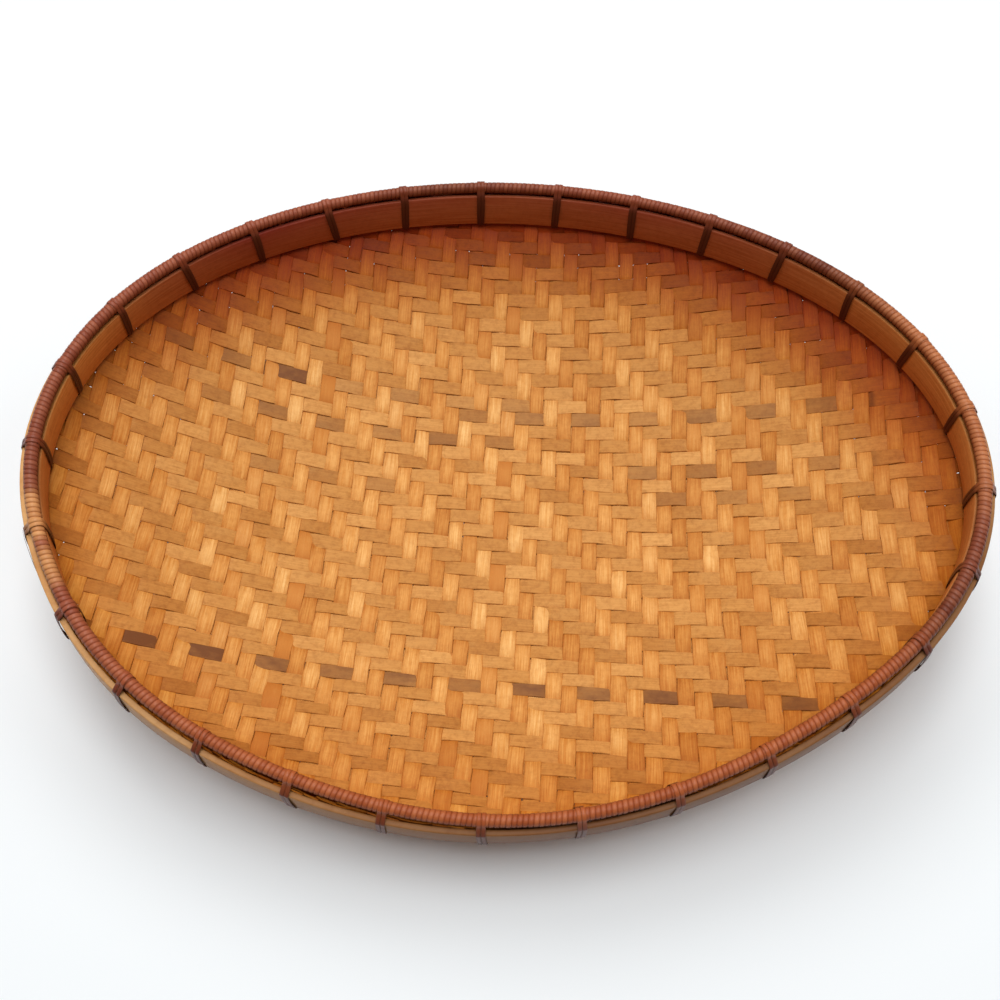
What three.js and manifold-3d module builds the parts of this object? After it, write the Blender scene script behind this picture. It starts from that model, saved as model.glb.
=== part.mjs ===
// An oval bamboo basket: a woven splint mat pressed into a shallow bowl, gripped near its edge
// between two split bamboo hoops, with a cane-wrapped rod lying on the edge and doubled cane
// lashings that bind rod, hoops and mat together.
// Millimetres, +Z up, X along the basket. The origin is under the middle, where the basket stands.
import * as THREE from "three";
import { mergeVertices } from "three/addons/utils/BufferGeometryUtils.js";
import Module from "manifold-3d";

const wasm = await Module();
wasm.setup();

// Rim: the line that the middle of the rod follows.
const rimHalfLength = 217;
const rimHalfWidth = 166;
const rimEggShare = 0.013; // how much blunter the +X end is than the -X end
const rimMeanHeight = 70;
const rimEndRise = 11; // the two ends stand this much over the mean, the long sides as much under it
const rimTilt = -2; // a third wave in the rim's height, which lowers the +X end
const leftFlatDepth = 6.2; // the near side is pressed in at two places: how far, where and over
const leftFlatAngle = 244; // how many degrees to each side
const leftFlatReach = 38;
const rightFlatDepth = 3.4;
const rightFlatAngle = 311;
const rightFlatReach = 32;
const rimLean = -1.25; // mean of the degrees that the rim's section leans outwards
const rimLeanEnds = -5.25; // degrees more at the two ends, and as much less at the long sides
const rimLeanBack = 4; // degrees more on the +Y side, and as much less on the -Y side
const rimLeanRight = 1.5; // degrees more at the +X end, and as much less at the -X end

// Rod and its wrap.
const rodRadius = 2.2;
const wrapThickness = 0.55; // cane at the bottom of a groove between two turns
const wrapRibDepth = 0.25;
const wrapSeamGap = 0.6; // where the wrap starts and ends, under a lashing

// Mat.
const matThickness = 2;
const flatShare = 0.25; // share of the way from the middle to the hoops that lies flat
const bowlPower = 1.62;
const bendDrop = 3.5; // from the foot of the hoops down to the bend into the bowl
const bendShare = 0.93; // where the bowl starts to turn up into the wall

// Weave: splints go over two and under two, which makes wales that run slantwise over the bowl.
const warpPitch = 7.67; // between splints that run across the basket
const weftPitch = 7.34; // between splints that run along it
const waleHeight = 0.9; // of a wale's crest over the wefts beside it
const waleFlank = 1.3; // width over which a crest drops to them
const waleStep = 32; // length of a straight piece of a wale
const waleEndShare = 0.915; // where the wales end, short of the bend
const borderShare = 0.9; // where the plain border of the mat starts, under the ends of the wales

// Hoops.
const hoopHeight = 19.5;
const innerHoopThickness = 2.3;
const outerHoopThickness = 2.8;
const outerHoopStandOff = 1.6; // air between the mat and the outer hoop
const hoopChamfer = 0.5;
const scarfLength = 56; // over which the two tapered ends of a hoop lie on each other
const scarfTipShare = 0.3; // of the hoop's thickness, left at the tip of a taper
const innerScarfAngle = 285; // where each hoop's ends meet, in degrees from +X
const outerScarfAngle = 75;

// Lashings.
const lashingCount = 29;
const lashingStart = 181; // degrees from +X to the first lashing
const strandWidth = 1.9;
const strandThickness = 1;
const strandPitch = 2.6; // between the middles of a lashing's two turns
const strandBulge = 0.4; // how far a turn stands off the middle of a hoop's face
const slotBelowFoot = 2.4; // from the foot of the hoops to the slot in the mat
const slotMargin = 0.4;

// Clearance between touching pieces, and how finely the pieces are cut up.
const clearance = 0.3;
const rimSteps = 64;
const ribsPerStep = 2;
const rodSides = 8;

// Sizes that follow from the driving ones.
const boreRadius = rodRadius + clearance;
const grooveRadius = boreRadius + wrapThickness;
const wrapRadius = grooveRadius + wrapRibDepth;
const matHalf = matThickness / 2;
const innerHoopOut = -matHalf - clearance;
const innerHoopIn = innerHoopOut - innerHoopThickness;
const outerHoopIn = matHalf + outerHoopStandOff;
const outerHoopOut = outerHoopIn + outerHoopThickness;
const matTop = -(wrapRadius + clearance);
const hoopTop = -Math.sqrt(Math.max((wrapRadius + clearance) ** 2 - innerHoopOut ** 2, (wrapRadius / 2) ** 2));
const hoopFoot = hoopTop - hoopHeight;
const bendLevel = hoopFoot - bendDrop;
const turn = 2 * Math.PI;

const material = (color, roughness) =>
  new THREE.MeshStandardMaterial({ color, roughness, metalness: 0 });
const splintMaterial = material(0xc98a3c, 0.55);
const innerHoopMaterial = material(0xa65e26, 0.5);
const outerHoopMaterial = material(0xc0965c, 0.55);
const rodMaterial = material(0xb98a52, 0.7);
const wrapMaterial = material(0x9a5238, 0.45);
const lashingMaterial = material(0x5c2a1c, 0.5);

// How far one flat of the near side presses the rim in at an angle.
function pressedIn(angle, depth, middle, reach) {
  const away = THREE.MathUtils.euclideanModulo(THREE.MathUtils.radToDeg(angle) - middle + 180, 360) - 180;
  return (depth / 2) * (1 + Math.cos(Math.PI * Math.min(Math.abs(away) / reach, 1)));
}

// The rim line at an angle.
function exactRim(angle) {
  const left = pressedIn(angle, leftFlatDepth, leftFlatAngle, leftFlatReach);
  const right = pressedIn(angle, rightFlatDepth, rightFlatAngle, rightFlatReach);
  const egg = 1 + rimEggShare * Math.cos(3 * angle) - (left + right) / rimHalfLength;
  return new THREE.Vector3(
    rimHalfLength * (egg * Math.cos(angle) - rimEggShare),
    rimHalfWidth * egg * Math.sin(angle),
    rimMeanHeight + rimEndRise * Math.cos(2 * angle) + rimTilt * Math.cos(3 * angle),
  );
}

// How far the rim's section leans outwards at an angle.
function leanAt(angle) {
  const ends = rimLeanEnds * Math.cos(2 * angle);
  const sides = rimLeanBack * Math.sin(angle) + rimLeanRight * Math.cos(angle);
  return THREE.MathUtils.degToRad(rimLean + ends + sides);
}

const rimCorners = Array.from({ length: rimSteps }, (_, i) => {
  const angle = (turn * i) / rimSteps;
  const nudge = 1e-4;
  const along = exactRim(angle + nudge).sub(exactRim(angle - nudge));
  const out = new THREE.Vector3(along.y, -along.x, 0).normalize();
  return { place: exactRim(angle), out, lean: leanAt(angle) };
});

// Every piece follows the same many-sided rim, so the gaps between them stay even all round.
function rimFrame(angle) {
  const step = THREE.MathUtils.euclideanModulo(angle / turn, 1) * rimSteps;
  const from = rimCorners[Math.floor(step) % rimSteps];
  const to = rimCorners[(Math.floor(step) + 1) % rimSteps];
  const share = step - Math.floor(step);
  const place = from.place.clone().lerp(to.place, share);
  const out = from.out.clone().lerp(to.out, share).normalize();
  const lean = THREE.MathUtils.lerp(from.lean, to.lean, share);
  const rise = new THREE.Vector3(0, 0, Math.cos(lean)).addScaledVector(out, Math.sin(lean));
  const face = out.clone().multiplyScalar(Math.cos(lean)).setZ(-Math.sin(lean));
  return { place, rise, face };
}

// A point of the rim's section: across is outwards through the wall, up is along the wall.
function sectionPoint(angle, across, up) {
  const { place, rise, face } = rimFrame(angle);
  return place.addScaledVector(face, across).addScaledVector(rise, up);
}

// The angles from one to another with every corner of the rim between them. Each part of a step
// between two corners can be halved or cut finer.
function anglesBetween(from, to, partsPerStep = 1) {
  const part = turn / rimSteps / partsPerStep;
  const least = part / 50;
  const angles = [from];
  for (let i = Math.ceil((from + least) / part); i * part < to - least; i += 1) {
    angles.push(i * part);
  }
  return [...angles, to];
}

// Arc length along the rim, for spacing the lashings and sizing the scarfs.
const rimLengths = [0];
for (let i = 1; i <= rimSteps; i += 1) {
  const span = rimCorners[i % rimSteps].place.distanceTo(rimCorners[i - 1].place);
  rimLengths.push(rimLengths[i - 1] + span);
}
const rimLength = rimLengths[rimSteps];

function lengthAt(angle) {
  const step = THREE.MathUtils.euclideanModulo(angle / turn, 1) * rimSteps;
  const i = Math.floor(step);
  return THREE.MathUtils.lerp(rimLengths[i], rimLengths[i + 1], step - i);
}

function angleAt(length) {
  const wanted = THREE.MathUtils.euclideanModulo(length, rimLength);
  const i = Math.max(rimLengths.findIndex((l) => l > wanted) - 1, 0);
  const share = (wanted - rimLengths[i]) / (rimLengths[i + 1] - rimLengths[i]);
  return (turn * (i + share)) / rimSteps;
}

// Joins rings of points into a closed skin. A ring of one point is a pole. The ends are capped,
// unless the rings close on themselves.
function skin(rings, closed) {
  const positions = [];
  const triangle = (a, b, c) => {
    for (const p of [a, b, c]) positions.push(p.x, p.y, p.z);
  };
  const spans = closed ? rings.length : rings.length - 1;
  for (let i = 0; i < spans; i += 1) {
    const low = rings[i];
    const high = rings[(i + 1) % rings.length];
    const sides = Math.max(low.length, high.length);
    for (let j = 0; j < sides; j += 1) {
      const k = (j + 1) % sides;
      if (low.length === 1) {
        triangle(low[0], high[k], high[j]);
      } else if (high.length === 1) {
        triangle(low[j], low[k], high[0]);
      } else {
        triangle(low[j], low[k], high[k]);
        triangle(low[j], high[k], high[j]);
      }
    }
  }
  if (!closed) {
    for (const [ring, flip] of [[rings[0], true], [rings[rings.length - 1], false]]) {
      for (let j = 1; j < ring.length - 1; j += 1) {
        if (flip) triangle(ring[0], ring[j + 1], ring[j]);
        else triangle(ring[0], ring[j], ring[j + 1]);
      }
    }
  }
  const geometry = new THREE.BufferGeometry();
  geometry.setAttribute("position", new THREE.Float32BufferAttribute(positions, 3));
  return mergeVertices(geometry, 1e-4);
}

function solidOf(geometry) {
  return new wasm.Manifold(
    new wasm.Mesh({
      numProp: 3,
      vertProperties: geometry.attributes.position.array,
      triVerts: new Uint32Array(geometry.index.array),
    }),
  );
}

function geometryOf(solid) {
  const mesh = solid.getMesh();
  const geometry = new THREE.BufferGeometry();
  geometry.setAttribute("position", new THREE.BufferAttribute(mesh.vertProperties, 3));
  geometry.setIndex(new THREE.BufferAttribute(mesh.triVerts, 1));
  return geometry;
}

// The basket, to which each piece is added under its name.
const basket = new THREE.Group();

function addPiece(name, geometry, pieceMaterial) {
  const shaded = geometry.toNonIndexed();
  shaded.computeVertexNormals();
  const piece = new THREE.Mesh(shaded, pieceMaterial);
  piece.name = name;
  basket.add(piece);
}

// Mat: the middle of its thickness, from the flat bottom up the bowl, round the bend under the
// hoops and up the wall between them.
function bowlHeight(edge, share) {
  const climb = Math.max((share - flatShare) / (1 - flatShare), 0) ** bowlPower;
  return matHalf + (edge.z - matHalf) * climb;
}

function bowlPoint(angle, share) {
  const edge = sectionPoint(angle, 0, bendLevel);
  return new THREE.Vector3(edge.x * share, edge.y * share, bowlHeight(edge, share));
}

const bowlEdge = Array.from({ length: rimSteps }, (_, i) =>
  sectionPoint((turn * i) / rimSteps, 0, bendLevel),
);

// The bowl's surface over a place in plan.
function bowlOver(x, y) {
  const place = new THREE.Vector3(x, y, matHalf);
  const cross = (a, b) => a.x * b.y - a.y * b.x;
  const next = (i) => bowlEdge[(i + 1) % rimSteps];
  const i = bowlEdge.findIndex((from, k) => cross(from, place) >= 0 && cross(place, next(k)) > 0);
  if (i < 0) return place;
  const [before, after] = [cross(bowlEdge[i], place), cross(place, next(i))];
  const edge = bowlEdge[i].clone().lerp(next(i), before / (before + after));
  return place.setZ(bowlHeight(edge, Math.hypot(x, y) / Math.hypot(edge.x, edge.y)));
}

function bendPoint(angle, share) {
  const curve = new THREE.QuadraticBezierCurve3(
    bowlPoint(angle, bendShare),
    sectionPoint(angle, 0, bendLevel),
    sectionPoint(angle, 0, hoopFoot),
  );
  return curve.getPoint(share);
}

// The border: a plain band from the ends of the wales round the bend and up the wall.
const borderStations = [
  ...[borderShare, bendShare].map((share) => (angle) => bowlPoint(angle, share)),
  ...[1 / 3, 2 / 3, 1].map((share) => (angle) => bendPoint(angle, share)),
  (angle) => sectionPoint(angle, 0, matTop),
];

// One ring of the border's skin, so far out of the middle of its thickness.
function borderRing(index, offset) {
  const last = borderStations.length - 1;
  const angles = bowlEdge.map((_, i) => (turn * i) / rimSteps);
  const ringAt = (station) => angles.map((angle) => borderStations[station](angle));
  const [inward, middle, outward] = [Math.max(index - 1, 0), index, Math.min(index + 1, last)].map(ringAt);
  return middle.map((p, i) => {
    const before = middle[(i + rimSteps - 1) % rimSteps];
    const after = middle[(i + 1) % rimSteps];
    const below = p.clone().sub(inward[i]).normalize();
    const above = outward[i].clone().sub(p).normalize();
    const normal = after.clone().sub(before).cross(below.add(above)).normalize();
    return p.clone().addScaledVector(normal, offset);
  });
}

function matBorder() {
  const outside = borderStations.map((_, i) => borderRing(i, matHalf));
  const inside = borderStations.map((_, i) => borderRing(i, i ? -matHalf : (waleHeight - matHalf) / 2));
  return skin([...outside, ...inside.reverse()], true);
}

// The woven middle: smooth below, with a flat crest over each wale of warps above. A line along a
// wale joins crossings whose warp and weft numbers have the same sum, and a wale comes every four.
const waleReach = Math.hypot(rimHalfLength / warpPitch, rimHalfWidth / weftPitch);
const wales = Math.ceil(waleReach / 4);
const partsPerWale = Math.ceil((waleReach * Math.hypot(warpPitch, weftPitch)) / waleStep);
const flankShare = (waleFlank * Math.hypot(warpPitch, weftPitch)) / (warpPitch * weftPitch);

function waleLine(sum, rise) {
  const side = (direction, offset) =>
    Array.from({ length: partsPerWale + 1 }, (_, i) => {
      const spread = direction * waleReach * ((2 * i) / partsPerWale - 1);
      const x = (warpPitch * (sum + spread)) / 2;
      const y = (weftPitch * (sum - spread)) / 2;
      const along = bowlOver(x + 1, y).sub(bowlOver(x - 1, y));
      const across = bowlOver(x, y + 1).sub(bowlOver(x, y - 1));
      return bowlOver(x, y).addScaledVector(along.cross(across).normalize(), offset);
    });
  return [...side(1, rise), ...side(-1, -matHalf)];
}

function matMiddle() {
  const lines = [];
  for (let wale = -wales; wale <= wales; wale += 1) {
    for (const half of [-1, 1]) {
      const flank = 4 * wale + half + 0.5;
      lines.push(waleLine(flank - flankShare / 2, half < 0 ? matHalf - waleHeight : matHalf));
      lines.push(waleLine(flank + flankShare / 2, half < 0 ? matHalf : matHalf - waleHeight));
    }
  }
  const tips = [lines[0], lines[lines.length - 1]].map((line) => {
    const middle = line[Math.floor(partsPerWale / 2)];
    return [middle.clone().multiplyScalar(1.1)];
  });
  return skin([tips[0], ...lines, tips[1]], false);
}

function middleBounds() {
  const rim = bowlEdge.map((p) => p.clone().multiplyScalar(waleEndShare));
  const floor = -rimMeanHeight;
  const ceiling = 2 * rimMeanHeight;
  return skin(
    [
      [new THREE.Vector3(0, 0, floor)],
      rim.map((p) => p.clone().setZ(floor)),
      rim.map((p) => p.clone().setZ(ceiling)),
      [new THREE.Vector3(0, 0, ceiling)],
    ],
    false,
  );
}

// Lashings: each is one strand that goes twice round rod, hoops and mat. Both turns climb the
// inside, cross the rod and come down the outside; the step from one to the other is in the slot.
const strandOff = clearance + strandThickness / 2;
const slotLevel = hoopFoot - slotBelowFoot;
const overRod = wrapRadius + strandOff;
const hoopMiddle = hoopFoot + hoopHeight / 2;
const diagonal = Math.SQRT1_2;
const strandInside = Math.min(innerHoopIn, -wrapRadius) - strandOff;
const strandTurn = [
  [strandInside, hoopFoot - strandOff / 2],
  [strandInside, 0],
  [-overRod * diagonal, overRod * diagonal],
  [0, overRod],
  [overRod * diagonal, overRod * diagonal],
  [outerHoopOut + strandOff, hoopTop + strandOff / 2],
  [outerHoopOut + strandOff + strandBulge, hoopMiddle],
  [outerHoopOut + strandOff, hoopFoot - strandOff / 2],
];

const firstLashing = lengthAt(THREE.MathUtils.degToRad(lashingStart));
const lashingPlaces = Array.from(
  { length: lashingCount },
  (_, i) => firstLashing - (rimLength * i) / lashingCount,
);

// A flat strip over points of the rim's section, each [across, up, distance along the rim].
function strip(place, points, width, thickness) {
  const rings = points.map(([across, up, along], i) => {
    const before = points[Math.max(i - 1, 0)];
    const after = points[Math.min(i + 1, points.length - 1)];
    const heading = new THREE.Vector2(after[0] - before[0], after[1] - before[1]).normalize();
    const [side, lift] = [-heading.y * (thickness / 2), heading.x * (thickness / 2)];
    const near = angleAt(place + along - width / 2);
    const far = angleAt(place + along + width / 2);
    return [
      sectionPoint(near, across - side, up - lift),
      sectionPoint(far, across - side, up - lift),
      sectionPoint(far, across + side, up + lift),
      sectionPoint(near, across + side, up + lift),
    ];
  });
  return skin(rings, false);
}

function strandPoints() {
  const step = strandPitch / 2;
  return [
    ...strandTurn.map(([across, up]) => [across, up, -step]),
    [0, slotLevel, 0],
    ...strandTurn.map(([across, up]) => [across, up, step]),
  ];
}

// The least gap of a strand to itself: between points of its first and second turn.
function strandSelfGap() {
  const samples = new THREE.CatmullRomCurve3(
    strandPoints().map(([across, up, along]) => sectionPoint(angleAt(firstLashing + along), across, up)),
    false,
    "catmullrom",
    0,
  ).getPoints(200);
  const farApart = strandWidth * 4;
  let least = Infinity;
  samples.forEach((a, i) => {
    let travelled = 0;
    for (let j = i + 1; j < samples.length; j += 1) {
      travelled += samples[j].distanceTo(samples[j - 1]);
      if (travelled > farApart) least = Math.min(least, a.distanceTo(samples[j]));
    }
  });
  return least - strandWidth;
}

function slotCutter(place) {
  const points = [
    [strandInside - slotMargin, hoopFoot - strandOff / 2, 0],
    [0, slotLevel, 0],
    [outerHoopOut + strandOff + slotMargin, hoopFoot - strandOff / 2, 0],
  ];
  const width = strandPitch + strandWidth + 2 * slotMargin;
  return solidOf(strip(place, points, width, strandThickness + 2 * slotMargin));
}

const wovenMiddle = solidOf(matMiddle()).intersect(solidOf(middleBounds()));
const pierced = lashingPlaces.reduce(
  (mat, place) => mat.subtract(slotCutter(place)),
  wovenMiddle.add(solidOf(matBorder())),
);
addPiece("woven_mat", geometryOf(pierced), splintMaterial);

// Hoops: a split bamboo strip bent into a ring, whose tapered ends lie on each other in a scarf.
function hoopSection(angle, low, high) {
  const cut = Math.min(hoopChamfer, (high - low) / 3);
  return [
    [low, hoopTop - cut],
    [low + cut, hoopTop],
    [high - cut, hoopTop],
    [high, hoopTop - cut],
    [high, hoopFoot + cut],
    [high - cut, hoopFoot],
    [low + cut, hoopFoot],
    [low, hoopFoot + cut],
  ].map(([across, up]) => sectionPoint(angle, across, up));
}

function hoop(innerFace, outerFace, scarfDegrees) {
  const start = THREE.MathUtils.degToRad(scarfDegrees);
  const opening = THREE.MathUtils.euclideanModulo(angleAt(lengthAt(start) + scarfLength) - start, turn);
  const parting = (angle) => innerFace + ((outerFace - innerFace) * (angle - start)) / opening;
  const firstEnd = anglesBetween(start + opening * scarfTipShare, start + opening);
  const middlePart = anglesBetween(start + opening, start + turn);
  const lastEnd = anglesBetween(start, start + opening * (1 - scarfTipShare));
  return skin(
    [
      ...firstEnd.slice(0, -1).map((angle) => hoopSection(angle, innerFace, parting(angle) - clearance / 2)),
      ...middlePart.slice(0, -1).map((angle) => hoopSection(angle, innerFace, outerFace)),
      hoopSection(start, innerFace, outerFace),
      ...lastEnd.slice(1).map((angle) => hoopSection(angle, parting(angle) + clearance / 2, outerFace)),
    ],
    false,
  );
}

addPiece("inner_hoop", hoop(innerHoopIn, innerHoopOut, innerScarfAngle), innerHoopMaterial);
addPiece("outer_hoop", hoop(outerHoopIn, outerHoopOut, outerScarfAngle), outerHoopMaterial);

// Rod and wrap: round sections on the rim line.
function roundSection(angle, radius) {
  return Array.from({ length: rodSides }, (_, i) => {
    const around = (-turn * i) / rodSides;
    return sectionPoint(angle, radius * Math.cos(around), radius * Math.sin(around));
  });
}

const rodRings = anglesBetween(0, turn).slice(0, -1).map((angle) => roundSection(angle, rodRadius));
addPiece("rim_rod", skin(rodRings, true), rodMaterial);

// The wrap is a ribbed sleeve, one ring in a groove and one on a crest for each rib, with a bore.
// Its two ends face each other under the first lashing.
function wrapSleeve() {
  const start = angleAt(firstLashing + wrapSeamGap / 2);
  const end = angleAt(firstLashing - wrapSeamGap / 2) + turn;
  const ribbed = anglesBetween(start, end, 2 * ribsPerStep);
  const bore = anglesBetween(start, end).reverse();
  return skin(
    [
      ...ribbed.map((angle, i) => roundSection(angle, i % 2 ? wrapRadius : grooveRadius)),
      ...bore.map((angle) => roundSection(angle, boreRadius)),
    ],
    true,
  );
}

addPiece("rim_wrap", wrapSleeve(), wrapMaterial);

lashingPlaces.forEach((place, i) => {
  const strand = strip(place, strandPoints(), strandWidth, strandThickness);
  addPiece("lashing_" + String(i + 1).padStart(2, "0"), strand, lashingMaterial);
});
console.log("least gap of a lashing strand to itself: " + strandSelfGap().toFixed(2) + " mm");

// The basket is centred over its own outline.
const outline = new THREE.Box3().setFromObject(basket);
const middle = outline.getCenter(new THREE.Vector3());
basket.position.set(-middle.x, -middle.y, 0);

export default basket;
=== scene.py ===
import math

import bpy
import numpy as np
from mathutils import Matrix, Vector


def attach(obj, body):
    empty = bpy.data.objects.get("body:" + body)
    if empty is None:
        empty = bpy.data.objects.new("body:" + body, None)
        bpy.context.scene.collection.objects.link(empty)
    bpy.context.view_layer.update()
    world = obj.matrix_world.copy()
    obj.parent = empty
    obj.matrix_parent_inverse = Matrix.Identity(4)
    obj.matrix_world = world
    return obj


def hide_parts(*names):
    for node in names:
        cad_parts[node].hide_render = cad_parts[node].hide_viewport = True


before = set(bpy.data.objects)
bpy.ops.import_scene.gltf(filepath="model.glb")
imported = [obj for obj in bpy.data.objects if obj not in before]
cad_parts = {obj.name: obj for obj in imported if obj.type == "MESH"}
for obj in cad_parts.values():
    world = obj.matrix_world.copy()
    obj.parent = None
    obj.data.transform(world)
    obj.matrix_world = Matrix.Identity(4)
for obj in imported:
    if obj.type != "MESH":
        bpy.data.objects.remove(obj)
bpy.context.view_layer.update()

mm = 0.001
fullTurn = 2 * math.pi
scene = bpy.context.scene


# Node trees written as expressions.

class Wire:  # one socket, which can be reckoned with like a number
    def __init__(self, bench, socket):
        self.bench = bench
        self.socket = socket

    def reckon(self, operation, *values):
        return self.bench.math(operation, self, *values)

    def __add__(self, other):
        return self.bench.math("ADD", self, other)

    def __radd__(self, other):
        return self.bench.math("ADD", other, self)

    def __sub__(self, other):
        return self.bench.math("SUBTRACT", self, other)

    def __rsub__(self, other):
        return self.bench.math("SUBTRACT", other, self)

    def __mul__(self, other):
        return self.bench.math("MULTIPLY", self, other)

    def __rmul__(self, other):
        return self.bench.math("MULTIPLY", other, self)

    def __truediv__(self, other):
        return self.bench.math("DIVIDE", self, other)

    def __rtruediv__(self, other):
        return self.bench.math("DIVIDE", other, self)


class Bench:  # a shader or geometry tree that nodes are put in
    def __init__(self, tree):
        self.tree = tree

    def find(self, sockets, key):
        if isinstance(key, int):
            return sockets[key]
        shown = [socket for socket in sockets if socket.enabled]
        return next(socket for socket in shown if key in (socket.identifier, socket.name))

    def node(self, kind, settings=None, values=None, out=0):
        made = self.tree.nodes.new(kind)
        for key, value in (settings or {}).items():
            if key == "stops":  # of a colour ramp: place and colour
                while len(made.color_ramp.elements) < len(value):
                    made.color_ramp.elements.new(0.5)
                for element, (place, colour) in zip(made.color_ramp.elements, value):
                    element.position = place
                    element.color = (*colour, 1)
            else:
                setattr(made, key, value)
        for key, value in (values or {}).items():
            socket = self.find(made.inputs, key)
            if isinstance(value, Wire):
                self.tree.links.new(value.socket, socket)
            else:
                socket.default_value = value
        return Wire(self, self.find(made.outputs, out)) if made.outputs else made

    def math(self, operation, *values):
        return self.node("ShaderNodeMath", {"operation": operation}, dict(enumerate(values)))

    def vector(self, operation, *values):
        return self.node("ShaderNodeVectorMath", {"operation": operation}, dict(enumerate(values)))

    def scaled(self, vector, factor):
        return self.node("ShaderNodeVectorMath", {"operation": "SCALE"}, {"Vector": vector, "Scale": factor})

    def mixed(self, factor, first, second, blend="MIX"):
        return self.node(
            "ShaderNodeMix",
            {"data_type": "RGBA", "blend_type": blend, "clamp_factor": True},
            {"Factor_Float": factor, "A_Color": first, "B_Color": second},
            "Result_Color",
        )

    def xyz(self, x, y, z):
        return self.node("ShaderNodeCombineXYZ", None, {0: x, 1: y, 2: z})

    def noise(self, vector, scale, detail, roughness):
        return self.node(
            "ShaderNodeTexNoise",
            {"noise_dimensions": "3D"},
            {"Vector": vector, "Scale": scale, "Detail": detail, "Roughness": roughness},
        )


def srgb(red, green, blue):  # a colour written as in a picture, 0 to 255
    def linear(c):
        c /= 255
        return c / 12.92 if c <= 0.04045 else ((c + 0.055) / 1.055) ** 2.4
    return (linear(red), linear(green), linear(blue))


# The rim that every piece follows.

rim = {
    "halfLength": 217.0,
    "widthShare": 0.7636,
    "shift": (-1.76, 0.45),
    "roundWaves": ((0.0132, 3, "cos"), (-0.0035, 3, "sin"), (0.0018, 2, "sin"), (0.0029, 4, "cos")),
    # where the near side is pressed in: depth, middle and reach in degrees
    "rodFlats": ((6.2, 243, 36), (3.4, 311, 32), (2.3, 207, 28)),
    "hoopFlats": ((4.4, 242, 36), (2.2, 311, 32), (1.7, 205, 26)),
    "height": 70.0,
    "heightWaves": ((11.0, 2, "cos"), (-0.74, 2, "sin"), (-2.06, 3, "cos")),
    "leanWaves": ((-1.25, 0, "cos"), (-5.25, 2, "cos"), (4.0, 1, "sin"), (1.5, 1, "cos")),
    "wrapRadiusWaves": ((3.02, 0, "cos"), (0.18, 2, "cos"), (-0.04, 1, "sin")),
    "wallFollows": 3.0,
    "wallOutMost": 1.7,
    "rodRadius": 2.3,
    "innerHoop": (-3.6, -1.3),
    "outerHoop": (2.6, 5.4),
    "hoopTop": -3.36,
    "hoopFoot": -22.86,
    "matTop": -3.7,
}


def waves(t, terms):
    return sum(size * (np.cos if kind == "cos" else np.sin)(count * t) for size, count, kind in terms)


def pressedIn(t, flats):
    total = 0
    for depth, middle, reach in flats:
        away = np.abs(np.mod(np.degrees(t) - middle + 180, 360) - 180)
        total = total + depth / 2 * (1 + np.cos(math.pi * np.minimum(away / reach, 1)))
    return total


def springOff(t):  # how far the hoops and the mat's edge stand out from under the rod
    return pressedIn(t, rim["rodFlats"]) - pressedIn(t, rim["hoopFlats"])


def wallOut(t):  # how far the mat's wall follows the outer hoop there
    return np.minimum(springOff(t) * rim["wallFollows"], rim["wallOutMost"])


def rimPlace(t):
    swell = 1 + waves(t, rim["roundWaves"]) - pressedIn(t, rim["rodFlats"]) / rim["halfLength"]
    return np.stack([
        rim["halfLength"] * swell * np.cos(t) + rim["shift"][0],
        rim["halfLength"] * rim["widthShare"] * swell * np.sin(t) + rim["shift"][1],
        rim["height"] + waves(t, rim["heightWaves"]),
    ], -1)


def unit(v):
    return v / np.linalg.norm(v, axis=-1, keepdims=True)


def rimFrame(t):  # place, direction along, level direction out, wall's face and rise
    nudge = 1e-4
    along = unit(rimPlace(t + nudge) - rimPlace(t - nudge))
    out = unit(np.stack([along[..., 1], -along[..., 0], np.zeros_like(t)], -1))
    upright = np.zeros_like(out)
    upright[..., 2] = 1
    lean = np.radians(waves(t, rim["leanWaves"]))[..., None]
    rise = np.cos(lean) * upright + np.sin(lean) * out
    face = np.cos(lean) * out - np.sin(lean) * upright
    return rimPlace(t), along, out, face, rise


def wallPoint(t, across, up):
    place, _, _, face, rise = rimFrame(t)
    return place + face * (across + springOff(t))[..., None] + rise * np.asarray(up)[..., None]


fineAngles = np.linspace(0, fullTurn, 2881)
finePlaces = rimPlace(fineAngles)
fineLengths = np.concatenate([[0], np.cumsum(np.linalg.norm(np.diff(finePlaces, axis=0), axis=1))])
rimLength = fineLengths[-1]


def angleAtLength(length):
    return np.interp(np.mod(length, rimLength), fineLengths, fineAngles)


def lengthAtAngle(t):
    return np.interp(np.mod(t, fullTurn), fineAngles, fineLengths)


# The mat's surface: flat bottom, bowl, bend and wall.

bowl = {
    "centre": (1.06, 0.45),
    "base": 1.25,
    "flatShare": 0.25,
    "power": 1.62,
    "bendDrop": 3.5,
    "bendShare": 0.93,
}
bendLevel = rim["hoopFoot"] - bowl["bendDrop"]
edgeLine = wallPoint(fineAngles, 0.0, bendLevel)
edgeOffset = edgeLine[:, :2] - np.array(bowl["centre"])
edgeBearing = np.unwrap(np.arctan2(edgeOffset[:, 1], edgeOffset[:, 0]))
edgeRadius = np.hypot(edgeOffset[:, 0], edgeOffset[:, 1])


def bowlPoint(t, share):
    edge = wallPoint(t, 0.0, bendLevel)
    climb = np.maximum((share - bowl["flatShare"]) / (1 - bowl["flatShare"]), 0) ** bowl["power"]
    centre = np.array(bowl["centre"])
    level = centre + (edge[..., :2] - centre) * share[..., None]
    height = bowl["base"] + (edge[..., 2] - bowl["base"]) * climb
    return np.concatenate([level, height[..., None]], -1)


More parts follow.
